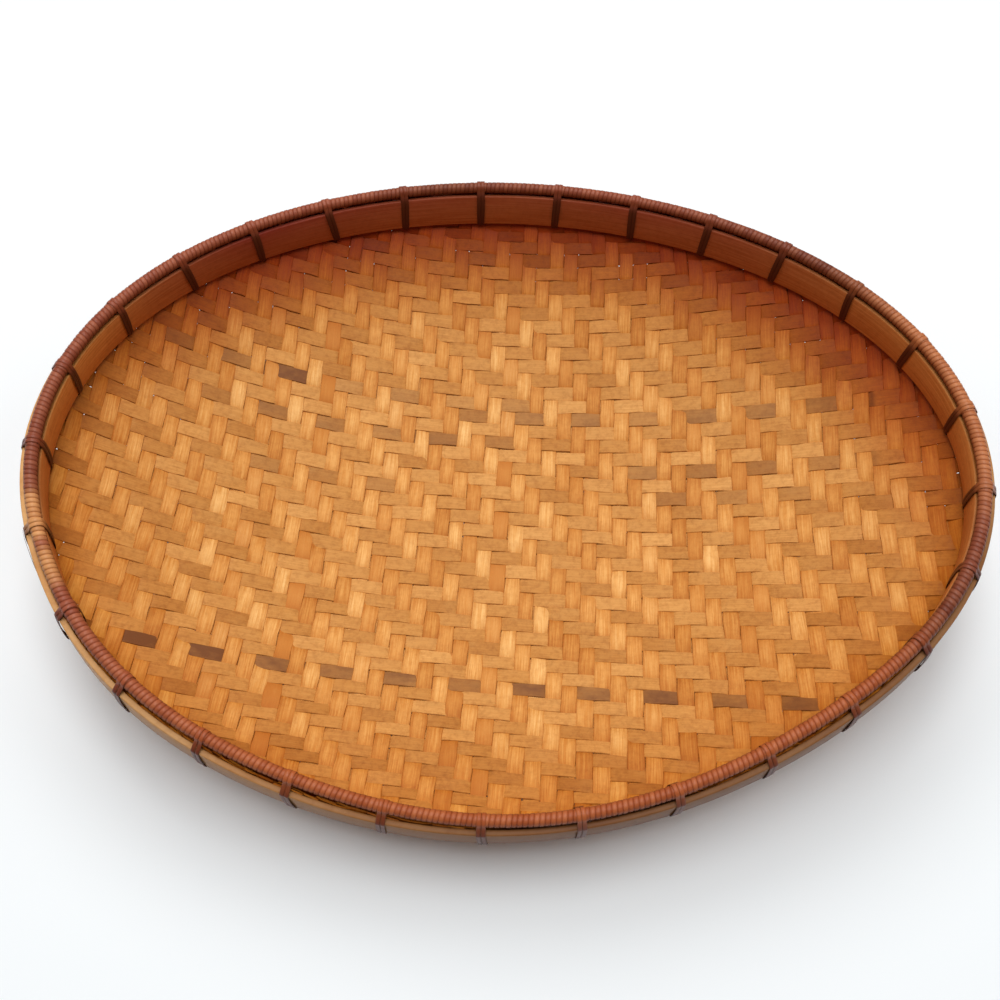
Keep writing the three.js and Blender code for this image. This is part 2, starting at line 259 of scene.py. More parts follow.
def bendPoint(t, q):
    first = bowlPoint(t, np.full_like(t, bowl["bendShare"]))
    corner = wallPoint(t, 0.0, bendLevel)
    last = wallPoint(t, wallOut(t), rim["hoopFoot"])
    q = q[..., None]
    return first * (1 - q) ** 2 + 2 * corner * q * (1 - q) + last * q ** 2


bendSteps = np.linspace(0, 1, 33)
sampleAngles = fineAngles[:-1:40]
bendSample = np.stack([bendPoint(sampleAngles, np.full_like(sampleAngles, q)) for q in bendSteps])
bendLengths = np.concatenate([
    np.zeros((1, len(sampleAngles))),
    np.cumsum(np.linalg.norm(np.diff(bendSample, axis=0), axis=2), axis=0),
])
bendLength = bendLengths[-1].mean()
bendShareAt = (bendLengths / bendLengths[-1]).mean(axis=1)
wallLength = rim["matTop"] - rim["hoopFoot"]


def matPlan(plan):  # angle round the rim, radius where the bend starts, and radius, of plan points
    offset = plan - np.array(bowl["centre"])
    bearing = np.arctan2(offset[..., 1], offset[..., 0])
    bearing = edgeBearing[0] + np.mod(bearing - edgeBearing[0], fullTurn)
    t = np.interp(bearing, edgeBearing, fineAngles)
    start = np.interp(bearing, edgeBearing, edgeRadius) * bowl["bendShare"]
    return t, start, np.hypot(offset[..., 0], offset[..., 1])


def matPoint(plan):
    t, start, radius = matPlan(plan)
    past = radius - start
    q = np.interp(np.clip(past / bendLength, 0, 1), bendShareAt, bendSteps)
    onBowl = bowlPoint(t, np.minimum(radius / start, 1) * bowl["bendShare"])
    onBend = bendPoint(t, q)
    onWall = wallPoint(t, wallOut(t), rim["hoopFoot"] + np.maximum(past - bendLength, 0))
    spot = np.where((past <= 0)[..., None], onBowl, onBend)
    return np.where((past > bendLength)[..., None], onWall, spot)


def matRoom(plan):  # how far a plan point is from the mat's top edge
    _, start, radius = matPlan(plan)
    return start + bendLength + wallLength - radius


def smoothStep(low, high, value):
    share = np.clip((value - low) / (high - low), 0, 1)
    return share * share * (3 - 2 * share)


# painted shade under the rim and, fainter, over the outer part of the bowl, partly old smoke
rimShade = {  # reaches are in mm down the bowl from the hoops' foot
    "turn": 0.22,  # from the far side to the darkest place
    "from": -0.12,  # of the sine of the angle round the rim: sets in here
    "full": 0.71,
    "reach": 24.0,
    "reachBack": 50.0,  # more at the back
    "fronts": 0.93,
    "frontFrom": 0.1,
    "frontFull": -0.8,
    "broad": 0.35,  # a fainter one over the outer part of the bowl
    "broadFront": 0.56,
    "broadReach": 90.0,
    "broadFull": 10.0,
    "soot": 1.0,  # painted shade right under the hoops, partly old soot, at the back only
    "sootAndShadeReach": 52.0,
    "sootAndShadeFull": -4.0,
}


def backness(t):
    return smoothStep(rimShade["from"], rimShade["full"], np.sin(t + rimShade["turn"]))


# painted shade right under the hoops at the back, partly old soot
def soot(t, room):
    near = smoothStep(rimShade["sootAndShadeReach"], rimShade["sootAndShadeFull"], room - wallLength)
    return rimShade["soot"] * backness(t) * near


def darkening(t, room):  # painted shade under the rim, deepest at the back where the wall faces away from the light, partly old smoke
    back = backness(t)
    reach = rimShade["reach"] + rimShade["reachBack"] * back
    strength = rimShade["fronts"] + (1 - rimShade["fronts"]) * back
    near = strength * smoothStep(reach, 0.0, room - wallLength)
    front = smoothStep(rimShade["frontFrom"], rimShade["frontFull"], np.sin(t))
    broad = rimShade["broad"] + (rimShade["broadFront"] - rimShade["broad"]) * front
    broad = broad * smoothStep(rimShade["broadReach"], rimShade["broadFull"], room - wallLength)
    return 1 - (1 - near) * (1 - broad)


# Pieces out of paths.

def pathMesh(name, strands):  # strands: dicts of points and what varies along them
    points = np.concatenate([s["points"] for s in strands]) * mm
    edges = []
    first = 0
    for s in strands:
        count = len(s["points"])
        ring = np.arange(first, first + count)
        edges.append(np.stack([ring[:-1], ring[1:]], 1))
        if s.get("closed"):
            edges.append(np.array([[ring[-1], ring[0]]]))
        first += count
    mesh = bpy.data.meshes.new(name)
    mesh.from_pydata(points, np.concatenate(edges), [])
    for key in strands[0]:
        if key in ("points", "closed"):
            continue
        values = np.concatenate([s[key] for s in strands]).astype(np.float32)
        vector = values.ndim == 2
        layer = mesh.attributes.new(key, "FLOAT_VECTOR" if vector else "FLOAT", "POINT")
        layer.data.foreach_set("vector" if vector else "value", values.ravel())
    return mesh


def newTree(name, inputs):  # a geometry tree with named inputs; returns its bench and their wires
    tree = bpy.data.node_groups.new(name, "GeometryNodeTree")
    tree.interface.new_socket("Geometry", in_out="INPUT", socket_type="NodeSocketGeometry")
    for label, kind in inputs.items():
        tree.interface.new_socket(label, in_out="INPUT", socket_type="NodeSocket" + kind)
    tree.interface.new_socket("Geometry", in_out="OUTPUT", socket_type="NodeSocketGeometry")
    bench = Bench(tree)
    start = tree.nodes.new("NodeGroupInput")
    return bench, {outlet.name: Wire(bench, outlet) for outlet in start.outputs if outlet.name}


def endTree(bench, geometry, finish):
    solid = bench.node("GeometryNodeRealizeInstances", None, {"Geometry": geometry})
    smooth = bench.node("GeometryNodeSetShadeSmooth", None, {"Geometry": solid})
    painted = bench.node("GeometryNodeSetMaterial", None, {"Geometry": smooth, "Material": finish})
    last = bench.tree.nodes.new("NodeGroupOutput")
    bench.tree.links.new(painted.socket, last.inputs[0])
    return bench.tree


def attribute(bench, name, kind="FLOAT"):
    return bench.node("GeometryNodeInputNamedAttribute", {"data_type": kind}, {"Name": name}, "Attribute")


def stored(bench, geometry, name, value, kind="FLOAT"):
    return bench.node(
        "GeometryNodeStoreNamedAttribute",
        {"data_type": kind, "domain": "POINT"},
        {"Geometry": geometry, "Name": name, "Value": value},
    )


def flatProfile(bench, width, thickness, edge):  # a flat strip's outline with eased edges
    ring = bench.node(
        "GeometryNodeCurvePrimitiveCircle", {"mode": "RADIUS"}, {"Resolution": 6, "Radius": 1.0},
    )
    spot = bench.node("GeometryNodeInputPosition")
    x = bench.node("ShaderNodeSeparateXYZ", None, {0: spot}, "X")
    y = bench.node("ShaderNodeSeparateXYZ", None, {0: spot}, "Y")
    flank = x.reckon("ABSOLUTE").reckon("LESS_THAN", 0.9)
    across = x.reckon("SIGN") * (width * 0.5 - flank * edge)
    lift = y.reckon("SIGN") * flank * thickness * 0.5
    ring = stored(bench, ring, "across", across)
    return bench.node("GeometryNodeSetPosition", None, {
        "Geometry": ring, "Position": bench.xyz(lift, attribute(bench, "across"), 0.0),
    })


def splintSweepTree():  # sweeps a flat strip along every path
    bench, given = newTree("splintSweep", {
        "Width": "Float", "Thickness": "Float", "Edge": "Float", "Finish": "Material",
    })
    curve = bench.node("GeometryNodeMeshToCurve", None, {"Mesh": given["Geometry"]})
    length = bench.node("GeometryNodeSplineParameter", None, None, "Length")
    curve = stored(bench, curve, "along", length)
    curve = bench.node(
        "GeometryNodeSetCurveNormal", {"mode": "FREE"},
        {"Curve": curve, "Normal": attribute(bench, "faceUp", "FLOAT_VECTOR")},
    )
    ring = flatProfile(bench, given["Width"], given["Thickness"], given["Edge"])
    swept = bench.node("GeometryNodeCurveToMesh", None, {
        "Curve": curve, "Profile Curve": ring, "Scale": attribute(bench, "breadth"), "Fill Caps": True,
    })
    return endTree(bench, swept, given["Finish"])


def caneWrapTree():  # winds one cane round a closed path, turn by turn
    bench, given = newTree("caneWrap", {
        "Turns": "Int", "Steps": "Int", "Cane Width": "Float", "Cane Thickness": "Float",
        "Edge": "Float", "Unevenness": "Float", "Seed": "Int", "Shade Level": "Float",
        "Shade Rise": "Float", "Finish": "Material",
    })
    curve = bench.node("GeometryNodeMeshToCurve", None, {"Mesh": given["Geometry"]})
    count = given["Turns"] * given["Steps"]
    curve = bench.node("GeometryNodeResampleCurve", None, {"Curve": curve, "Count": count})
    index = bench.node("GeometryNodeInputIndex")
    turns = index / given["Steps"]
    angle = turns * fullTurn
    tangent = bench.node("GeometryNodeInputTangent")
    rimUp = attribute(bench, "rimUp", "FLOAT_VECTOR")
    side = bench.vector("NORMALIZE", bench.vector("CROSS_PRODUCT", tangent, rimUp))
    up = bench.vector("CROSS_PRODUCT", side, tangent)
    outwards = bench.vector(
        "ADD", bench.scaled(side, angle.reckon("COSINE")), bench.scaled(up, angle.reckon("SINE")),
    )

    def perTurn(low, high, seedShift):
        return bench.node("FunctionNodeRandomValue", {"data_type": "FLOAT"}, {
            "Min": low, "Max": high, "ID": turns.reckon("FLOOR"), "Seed": given["Seed"] + seedShift,
        }, "Value")

    curve = stored(bench, curve, "faceUp", outwards, "FLOAT_VECTOR")
    curve = stored(bench, curve, "turnTone", perTurn(0.0, 1.0, 1))
    curve = stored(bench, curve, "rimShare", index / count)
    # painted shade on the lower, inner side of each turn
    underShade = bench.node("ShaderNodeMath", {"operation": "MULTIPLY_ADD", "use_clamp": True}, {
        0: angle.reckon("SINE"), 1: given["Shade Rise"], 2: given["Shade Level"],
    })
    curve = stored(bench, curve, "inner", underShade)
    faceUp = attribute(bench, "faceUp", "FLOAT_VECTOR")
    middle = attribute(bench, "girth") - given["Cane Thickness"] * 0.5
    radius = middle + given["Unevenness"] * perTurn(-1.0, 1.0, 2)
    offset = bench.scaled(faceUp, radius)
    curve = bench.node("GeometryNodeSetPosition", None, {"Geometry": curve, "Offset": offset})
    curve = bench.node("GeometryNodeSetCurveNormal", {"mode": "FREE"}, {"Curve": curve, "Normal": faceUp})
    ring = flatProfile(bench, given["Cane Width"], given["Cane Thickness"], given["Edge"])
    swept = bench.node("GeometryNodeCurveToMesh", None, {"Curve": curve, "Profile Curve": ring})
    return endTree(bench, swept, given["Finish"])


def makeFromTree(name, mesh, tree, values):  # a plain mesh object out of a path and a tree
    piece = bpy.data.objects.new(name, mesh)
    scene.collection.objects.link(piece)
    modifier = piece.modifiers.new("build", "NODES")
    modifier.node_group = tree
    for item in tree.interface.items_tree:
        if item.in_out == "INPUT" and item.name in values:
            modifier[item.identifier] = values[item.name]
    depsgraph = bpy.context.evaluated_depsgraph_get()
    made = bpy.data.meshes.new_from_object(
        piece.evaluated_get(depsgraph), preserve_all_data_layers=True, depsgraph=depsgraph,
    )
    piece.modifiers.clear()
    piece.data = made
    made.name = name
    return piece


def signedVolume(mesh):
    points = np.empty(len(mesh.vertices) * 3)
    mesh.vertices.foreach_get("co", points)
    points = points.reshape(-1, 3)
    mesh.calc_loop_triangles()
    corners = np.empty(len(mesh.loop_triangles) * 3, dtype=np.int64)
    mesh.loop_triangles.foreach_get("vertices", corners)
    a, b, c = (points[corners.reshape(-1, 3)[:, i]] for i in range(3))
    return float(np.einsum("ij,ij->i", a, np.cross(b, c)).sum() / 6)


def finishPiece(piece, nodes, sharpAngle):
    if signedVolume(piece.data) < 0:
        piece.data.flip_normals()
    piece.data.set_sharp_from_angle(angle=math.radians(sharpAngle))
    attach(piece, "root")
    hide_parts(*nodes)
    volume = round(signedVolume(piece.data) * 1e6, 2)
    print(piece.name, "faces", len(piece.data.polygons), "volume cm3", volume)


def ringMesh(name, rings, closed, layers):  # skins rings of points; layers are per-ring or per-point values
    rings = np.asarray(rings)
    count, sides = rings.shape[:2]
    faces = []
    for i in range(count if closed else count - 1):
        low = i * sides
        high = ((i + 1) % count) * sides
        for j in range(sides):
            k = (j + 1) % sides
            faces.append((low + j, low + k, high + k, high + j))
    if not closed:
        faces.append(tuple(range(sides))[::-1])
        faces.append(tuple(range((count - 1) * sides, count * sides)))
    mesh = bpy.data.meshes.new(name)
    mesh.from_pydata(rings.reshape(-1, 3) * mm, [], faces)
    for key, values in layers.items():
        layer = mesh.attributes.new(key, "FLOAT", "POINT")
        layer.data.foreach_set("value", np.broadcast_to(values, (count, sides)).astype(np.float32).ravel())
    mesh.polygons.foreach_set("use_smooth", [True] * len(mesh.polygons))
    piece = bpy.data.objects.new(name, mesh)
    scene.collection.objects.link(piece)
    return piece


# Finishes.

def newFinish(name, roughness, gloss=0.25):
    finish = bpy.data.materials.new(name)
    finish.use_nodes = True
    bench = Bench(finish.node_tree)
    shader = finish.node_tree.nodes["Principled BSDF"]
    shader.inputs["Roughness"].default_value = roughness
    shader.inputs["Specular IOR Level"].default_value = gloss
    return finish, bench, shader


def feed(bench, shader, key, wire):
    bench.tree.links.new(wire.socket, shader.inputs[key])


def surfaceValue(bench, name):
    return bench.node("ShaderNodeAttribute", {"attribute_name": name}, None, "Fac")


def bambooFinish(name, look):  # split bamboo: streaks along the strip, tone by strip and by float
    finish, bench, shader = newFinish(name, look["roughness"], look["gloss"])
    along = surfaceValue(bench, "along") * 1000.0
    across = surfaceValue(bench, "across") * 1000.0
    tone = surfaceValue(bench, "tone")
    grainLayer = tone * look["toneToGrain"]
    streak = bench.noise(
        bench.xyz(across, along * look["fibreStretch"], grainLayer), look["fibresPerMm"], 3.0, 0.6,
    )
    cloud = bench.noise(
        bench.xyz(across, along * look["cloudStretch"], grainLayer), look["cloudsPerMm"], 3.0, 0.6,
    )
    drifted = tone + (cloud - 0.5) * look["toneDrift"]
    ramp = bench.node("ShaderNodeValToRGB", {"stops": look["tones"]}, {"Fac": drifted})
    darker = bench.mixed(1.0, ramp, look["fibreShade"], "MULTIPLY")
    colour = bench.mixed((streak - look["fibreLevel"]) * look["fibreContrast"], darker, ramp)
    colour = bench.mixed((cloud - 0.5) * look["cloudContrast"], colour, look["cloudColour"])
    place = bench.node("ShaderNodeTexCoord", None, None, "Object")
    mottle = bench.noise(place, look["mottlesPerMm"] * 1000, 4.0, 0.7)
    mottled = bench.mixed(1.0, colour, look["mottleColour"], "MULTIPLY")
    colour = bench.mixed((mottle - look["mottleLevel"]) * look["mottleContrast"], colour, mottled)
    # painted shade along the strip's edges, between neighbours
    side = (across.reckon("ABSOLUTE") - look["edgeFrom"]) * look["edgeContrast"]
    edgeShaded = bench.mixed(1.0, colour, look["edgeShadeColour"], "MULTIPLY")
    colour = bench.mixed(side, colour, edgeShaded)
    stain = surfaceValue(bench, "stain") * (look["stainEven"] + cloud * look["stainCloud"])
    colour = bench.mixed(stain, colour, look["stainColour"])
    # painted shade: under the rim, where splints dive, round the hoops and right under the hoops at the back
    for shading in ("shade", "soot"):
        shadedColour = bench.mixed(1.0, colour, look[shading + "Colour"], "MULTIPLY")
        colour = bench.mixed(surfaceValue(bench, shading), colour, shadedColour)
    feed(bench, shader, "Base Color", colour)
    feed(bench, shader, "Roughness", look["roughness"] + (streak - 0.5) * look["roughnessSpread"])
    feed(bench, shader, "Normal", bench.node("ShaderNodeBump", None, {
        "Strength": look["bump"], "Distance": look["bumpDepth"] * mm, "Height": streak,
    }))
    return finish


def caneFinish(name, look):  # thin cane, coloured by its place round the rim and by turn, with painted shade in the grooves and on its lower, inner side
    finish, bench, shader = newFinish(name, look["roughness"])
    rimShare = surfaceValue(bench, "rimShare")
    stops = [(share, srgb(*look["canes"][cane])) for share, cane in look["stretches"]]
    zone = bench.node("ShaderNodeValToRGB", {"stops": stops}, {"Fac": rimShare})
    tone = surfaceValue(bench, "turnTone")
    place = bench.node("ShaderNodeTexCoord", None, None, "Object")
    grain = bench.noise(place, look["grainsPerMm"] * 1000, 3.0, 0.6)
    light = bench.mixed(look["lightShare"], zone, look["lightCane"])
    dark = bench.mixed(1.0, zone, look["darkCane"], "MULTIPLY")
    colour = bench.mixed(tone * look["turnShare"] + grain * (1 - look["turnShare"]), dark, light)
    # painted shade in the grooves between turns and along a lashing's edges
    across = surfaceValue(bench, "across").reckon("ABSOLUTE") * 1000.0
    side = (across - look["edgeFrom"]) * look["edgeContrast"]
    colour = bench.mixed(side, colour, bench.mixed(1.0, colour, look["edgeShadeColour"], "MULTIPLY"))
    # painted shade on the wrap's underside and on the lashings, away from the top of the rod
    colour = bench.mixed(surfaceValue(bench, "inner") * look["underShadeShare"], colour, look["underShadeColour"])
    feed(bench, shader, "Base Color", colour)
    feed(bench, shader, "Roughness", look["roughness"] + (grain - 0.5) * look["roughnessSpread"])
    feed(bench, shader, "Normal", bench.node("ShaderNodeBump", None, {
        "Strength": look["bump"], "Distance": look["bumpDepth"] * mm, "Height": grain,
    }))
    return finish


def plainStops(colours):
    return [(i / (len(colours) - 1), srgb(*c)) for i, c in enumerate(colours)]


# The woven mat.

weave = {  # a crossing's place in mm: terms of (size, power of warp number / 10, power of weft number / 10)
    "placeAcross": (
        (-2.97, 0, 0), (76.79, 1, 0), (0.57, 0, 1), (0.31, 2, 0), (-0.78, 1, 1), (-0.27, 0, 2), (-0.36, 3, 0),
    ),
    "placeUp": (
        (-9.3, 0, 0), (-0.44, 1, 0), (73.37, 0, 1), (0.27, 2, 0), (0.91, 1, 1), (1.22, 0, 2), (-0.29, 3, 0),
        (0.6, 2, 1), (-0.42, 1, 2), (-0.7, 0, 3),
    ),
    "twist": 0.03725,
    "splintsEachWay": 36,  # from the middle one
    "crossingsEachWay": 40,
    "cuts": (-0.5, -0.42, -0.25, 0.0, 0.25, 0.42),  # points of a path, round each crossing
    "fewestPoints": 12,
    "knotRange": (-44, 52),  # crossings between which the random lines are drawn
    "width": 7.0,
    "thickness": 0.7,
    "edge": 0.2,
    "cover": {"warp": 1.005, "weft": 0.995},  # share of the room between neighbours that a splint fills
    "coverBend": 0.03,  # more where the mat bends up, over this far from its top edge
    "coverBendReach": (40.0, 15.0),
    "uneven": 0.08,  # of its width
    "wave": 0.46,  # how far a splint rises over and dips under the middle of the mat
    "wander": 0.3,
    "flutter": 0.04,
    "roll": 0.1,
    "toneSpread": 0.22,
    "floatSpread": 0.2,
    "everyOther": 0.12,  # lighter and darker wefts by turns
    "patchiness": (0.6, 1.25),  # of a stain, float by float
    "dipShade": {"warp": 0.4, "weft": 0.0},
    "seed": 11,
    "redderWarps": {0: 0.6, -2: 0.3, -8: 0.2, -13: 0.7, -17: 0.5, 10: 0.2, 13: 0.2, 16: 0.4, 17: 0.4},
    "darkerWefts": (  # weft number, from warp, to warp, how dark
        (-12, -25, 21, 0.8), (10, -26, -14, 0.85), (10, -13, 2, 0.3), (9, -5, 25, 0.55), (7, -23, 1, 0.5),
        (5, 8, 25, 0.45), (3, 10, 21, 0.3), (3, -18, -7, 0.3),
    ),
}
warpLook = {
    "roughness": 0.55,
    "gloss": 0.12,
    "tones": plainStops([(217, 150, 75), (232, 168, 93), (243, 184, 110), (252, 200, 130)]),
    "fibreShade": (0.80, 0.63, 0.42, 1.0),
    "fibresPerMm": 1.7,
    "fibreStretch": 0.04,
    "toneToGrain": 40.0,
    "fibreLevel": 0.36,
    "fibreContrast": 3.2,
    "cloudsPerMm": 0.14,
    "cloudStretch": 0.5,
    "cloudContrast": 0.9,
    "cloudColour": (*srgb(220, 146, 66), 1.0),
    "toneDrift": 0.6,
    "mottlesPerMm": 0.35,
    "mottleLevel": 0.45,
    "mottleContrast": 1.8,
    "mottleColour": (0.74, 0.62, 0.50, 1.0),
    "edgeFrom": 1.1,
    "edgeContrast": 0.45,
    "edgeShadeColour": (0.86, 0.78, 0.68, 1.0),
    "stainColour": (*srgb(202, 126, 54), 1.0),
    "stainEven": 0.3,
    "stainCloud": 1.4,
    "shadeColour": (0.66, 0.43, 0.10, 1.0),
    "sootColour": (0.64, 0.22, 0.12, 1.0),
    "roughnessSpread": 0.25,
    "bump": 0.25,
    "bumpDepth": 0.3,
}
weftLook = dict(
    warpLook,
    tones=plainStops([(201, 137, 68), (214, 151, 80), (223, 161, 90), (233, 172, 100)]),
    fibreShade=(0.82, 0.74, 0.64, 1.0),
    fibreContrast=2.2,
    cloudContrast=1.6,
    cloudColour=(*srgb(195, 138, 74), 1.0),
    mottleContrast=3.0,
    mottleColour=(0.72, 0.63, 0.55, 1.0),
    edgeContrast=0.1,
    stainColour=(*srgb(128, 80, 46), 1.0),
)


def crossingPlace(warp, weft):
    x, y = np.asarray(warp) / 10, np.asarray(weft) / 10
    across = sum(size * x ** a * y ** b for size, a, b in weave["placeAcross"])
    up = sum(size * x ** a * y ** b for size, a, b in weave["placeUp"])
    turn = weave["twist"]
    east = across * math.cos(turn) + up * math.sin(turn)
    north = up * math.cos(turn) - across * math.sin(turn)
    return np.array(bowl["centre"]) + np.stack([east, north], -1)


def drifting(random, crossing, step):  # a smooth random line through knots, from -1 to 1
    knots = np.arange(*weave["knotRange"], step)
    values = random.uniform(-1, 1, len(knots))
    share = (crossing - knots[0]) / step
    low = np.floor(share).astype(int)
    ease = smoothStep(0.0, 1.0, share - low)
    return values[low] * (1 - ease) + values[low + 1] * ease


def splintStrands(kind, random):
    warp = kind == "warp"
    reach = weave["crossingsEachWay"]
    crossing = (np.arange(-reach, reach + 1)[:, None] + np.array(weave["cuts"])[None, :]).ravel()

    def line(number):
        return crossingPlace(number, crossing) if warp else crossingPlace(crossing, number)

    strands = []
    for number in range(-weave["splintsEachWay"], weave["splintsEachWay"] + 1):
        drift = drifting(random, crossing, 6.0) * weave["wander"]
        drift += drifting(random, crossing, 1.5) * weave["flutter"]
        roll = drifting(random, crossing, 2.0) * weave["roll"]
        splintTone = 0.5 + weave["toneSpread"] * random.normal()
        floatTones = random.normal(size=reach) * weave["floatSpread"]
        uneven = 1 + weave["uneven"] * drifting(random, crossing, 0.9)
        patchiness = random.uniform(*weave["patchiness"], reach)
        if not warp:
            splintTone += weave["everyOther"] if number % 2 == 0 else -weave["everyOther"]
        plan = line(number)
        inside = np.flatnonzero(matRoom(plan) > 0.0)
        if len(inside) < weave["fewestPoints"]:
            continue
        keep = slice(inside[0], inside[-1] + 1)
        cross = crossing[keep]
        plan, before, after = plan[keep], line(number - 1)[keep], line(number + 1)[keep]
        points = matPoint(plan)
        tangent = unit(np.gradient(points, axis=0))
        side = (matPoint(after) - matPoint(before)) / 2
        side -= tangent * (side * tangent).sum(-1, keepdims=True)
        spacing = np.linalg.norm(side, axis=-1)
        side /= spacing[:, None]
        normal = np.cross(side, tangent) if warp else np.cross(tangent, side)
        phase = number + cross
        level = np.cos(math.pi / 2 * (phase - 0.5)) * (1 if warp else -1)
        lift = weave["wave"] * np.sign(level) * np.sqrt(np.abs(level))
        floats = np.floor((phase + (1.5 if warp else -0.5)) / 4).astype(int) % reach
        t, _, _ = matPlan(plan)
        room = matRoom(plan)
        cover = weave["cover"][kind] + weave["coverBend"] * smoothStep(*weave["coverBendReach"], room)
        stain = np.full(len(plan), weave["redderWarps"].get(number, 0.0) if warp else 0.0)
        if not warp:
            for weft, first, last, dark in weave["darkerWefts"]:
                if weft == number:
                    stain += np.where((cross > first) & (cross < last), dark, 0.0)
        strands.append({
            "points": points + normal * lift[:, None] + side * drift[keep][:, None],
            "faceUp": unit(normal + side * roll[keep][:, None]),
            "breadth": spacing * uneven[keep] * cover / weave["width"],
            "tone": np.clip(splintTone + floatTones[floats], 0, 1),
            "stain": np.clip(stain * patchiness[floats], 0, 1),
            # painted shade under the rim and where a splint dives under the next
            "shade": 1 - (1 - darkening(t, room)) * (1 - weave["dipShade"][kind] * (1 - np.abs(level))),
            "soot": soot(t, room),
        })
    return strands


print("weaving the mat")
sweepTree = splintSweepTree()
random = np.random.default_rng(weave["seed"])
for kind, look in (("warp", warpLook), ("weft", weftLook)):
    strands = splintStrands(kind, random)
    piece = makeFromTree(kind + "_splints", pathMesh(kind, strands), sweepTree, {
        "Width": weave["width"] * mm, "Thickness": weave["thickness"] * mm, "Edge": weave["edge"] * mm,
        "Finish": bambooFinish(kind + "Bamboo", look),
    })
    finishPiece(piece, ["woven_mat"], 40.0)
    print(kind, "splints", len(strands))


# The hoops.

hoops = {
    "steps": 288,
    "scarfSteps": 24,
    "scarfLength": 56.0,
    "tipShare": 0.3,
    "clearance": 0.3,
    "round": 0.55,
    "innerScarf": math.radians(285),
    "outerScarf": math.radians(75),
    # painted shade at degrees round the rim, where a face turns from the light: inside it is strong over the
    # far side, outside at the near right
    "innerShade": (
        (0, 0.1), (25, 0.2), (55, 0.75), (72, 0.85), (90, 0.75), (128, 0.95), (146, 0.6), (160, 0.05),
        (174, 0.0), (190, 0.3), (350, 0.3),
    ),
    "outerShade": ((0, 0.3), (30, 0.2), (150, 0.1), (205, 0.0), (258, 0.65), (280, 0.8), (345, 0.7)),
    "footShade": {"inner_hoop": -0.35, "outer_hoop": 0.45},  # less painted shade at the inner hoop's foot, more down the outer hoop's face
}
innerLook = dict(
    warpLook,
    roughness=0.42,
    tones=plainStops([(217, 144, 76), (226, 156, 84)]),
    fibreShade=(0.78, 0.64, 0.5, 1.0),
    fibresPerMm=1.1,
    fibreStretch=0.02,
    cloudsPerMm=0.05,
    cloudColour=(*srgb(198, 114, 62), 1.0),
    edgeContrast=0.0,
    shadeColour=(0.38, 0.11, 0.36, 1.0),
    bump=0.3,
)
outerLook = dict(
    innerLook,
    tones=plainStops([(228, 176, 116), (236, 186, 126)]),
    cloudColour=(*srgb(208, 146, 86), 1.0),
    shadeColour=(0.15, 0.055, 0.02, 1.0),
)


def bendHoop(node, faces, scarf, shade, look):
    name = node + "_strip"
    footShade = hoops["footShade"][node]
    low, high = faces
    span = hoops["scarfLength"]
    start = lengthAtAngle(scarf)
    lastEnd = start + rimLength + span * (1 - hoops["tipShare"])
    lengths = np.concatenate([
        np.linspace(start + span * hoops["tipShare"], start + span, hoops["scarfSteps"])[:-1],
        np.linspace(start + span, start + rimLength, hoops["steps"])[:-1],
        np.linspace(start + rimLength, lastEnd, hoops["scarfSteps"]),
    ])
    share = (lengths - start) / span
    endShare = (lengths - start - rimLength) / span
    thick = high - low
    t = angleAtLength(lengths)
    inner = np.where(endShare > 0, low + thick * endShare + hoops["clearance"] / 2, low)
    outer = np.where(share < 1, low + thick * share - hoops["clearance"] / 2, high)
    corner = np.minimum(hoops["round"], (outer - inner) / 3)
    top, foot = rim["hoopTop"], rim["hoopFoot"]
    dip = 1 - math.sqrt(0.5)
    spots = [  # across from one face and up or down from one edge, in rounded corners
        (inner, top - corner), (inner + dip * corner, top - dip * corner), (inner + corner, top),
        (outer - corner, top), (outer - dip * corner, top - dip * corner), (outer, top - corner),
        (outer, foot + corner), (outer - dip * corner, foot + dip * corner), (outer - corner, foot),
        (inner + corner, foot), (inner + dip * corner, foot + dip * corner), (inner, foot + corner),
    ]
    rings = np.stack([wallPoint(t, a, np.broadcast_to(u, t.shape)) for a, u in spots], axis=1)
    up = np.stack([np.broadcast_to(u, t.shape) for _, u in spots], axis=1)
    # painted shade round the rim and down the face
    shaded = np.interp(np.degrees(t) % 360, *np.transpose(shade), period=360)[:, None]
    lowness = smoothStep((top + foot) / 2, foot, up)
    room = 1 - shaded if footShade > 0 else shaded
    piece = ringMesh(name, rings, False, {
        "along": (lengths * mm)[:, None], "across": up * mm, "tone": 0.5, "stain": 0.0,
        "shade": shaded + footShade * lowness * room,
    })
    piece.data.materials.append(bambooFinish(name + "Bamboo", look))
    finishPiece(piece, [node], 50.0)


print("bending the hoops")
bendHoop("inner_hoop", rim["innerHoop"], hoops["innerScarf"], hoops["innerShade"], innerLook)
bendHoop("outer_hoop", rim["outerHoop"], hoops["outerScarf"], hoops["outerShade"], outerLook)


# The rod and its wrap.

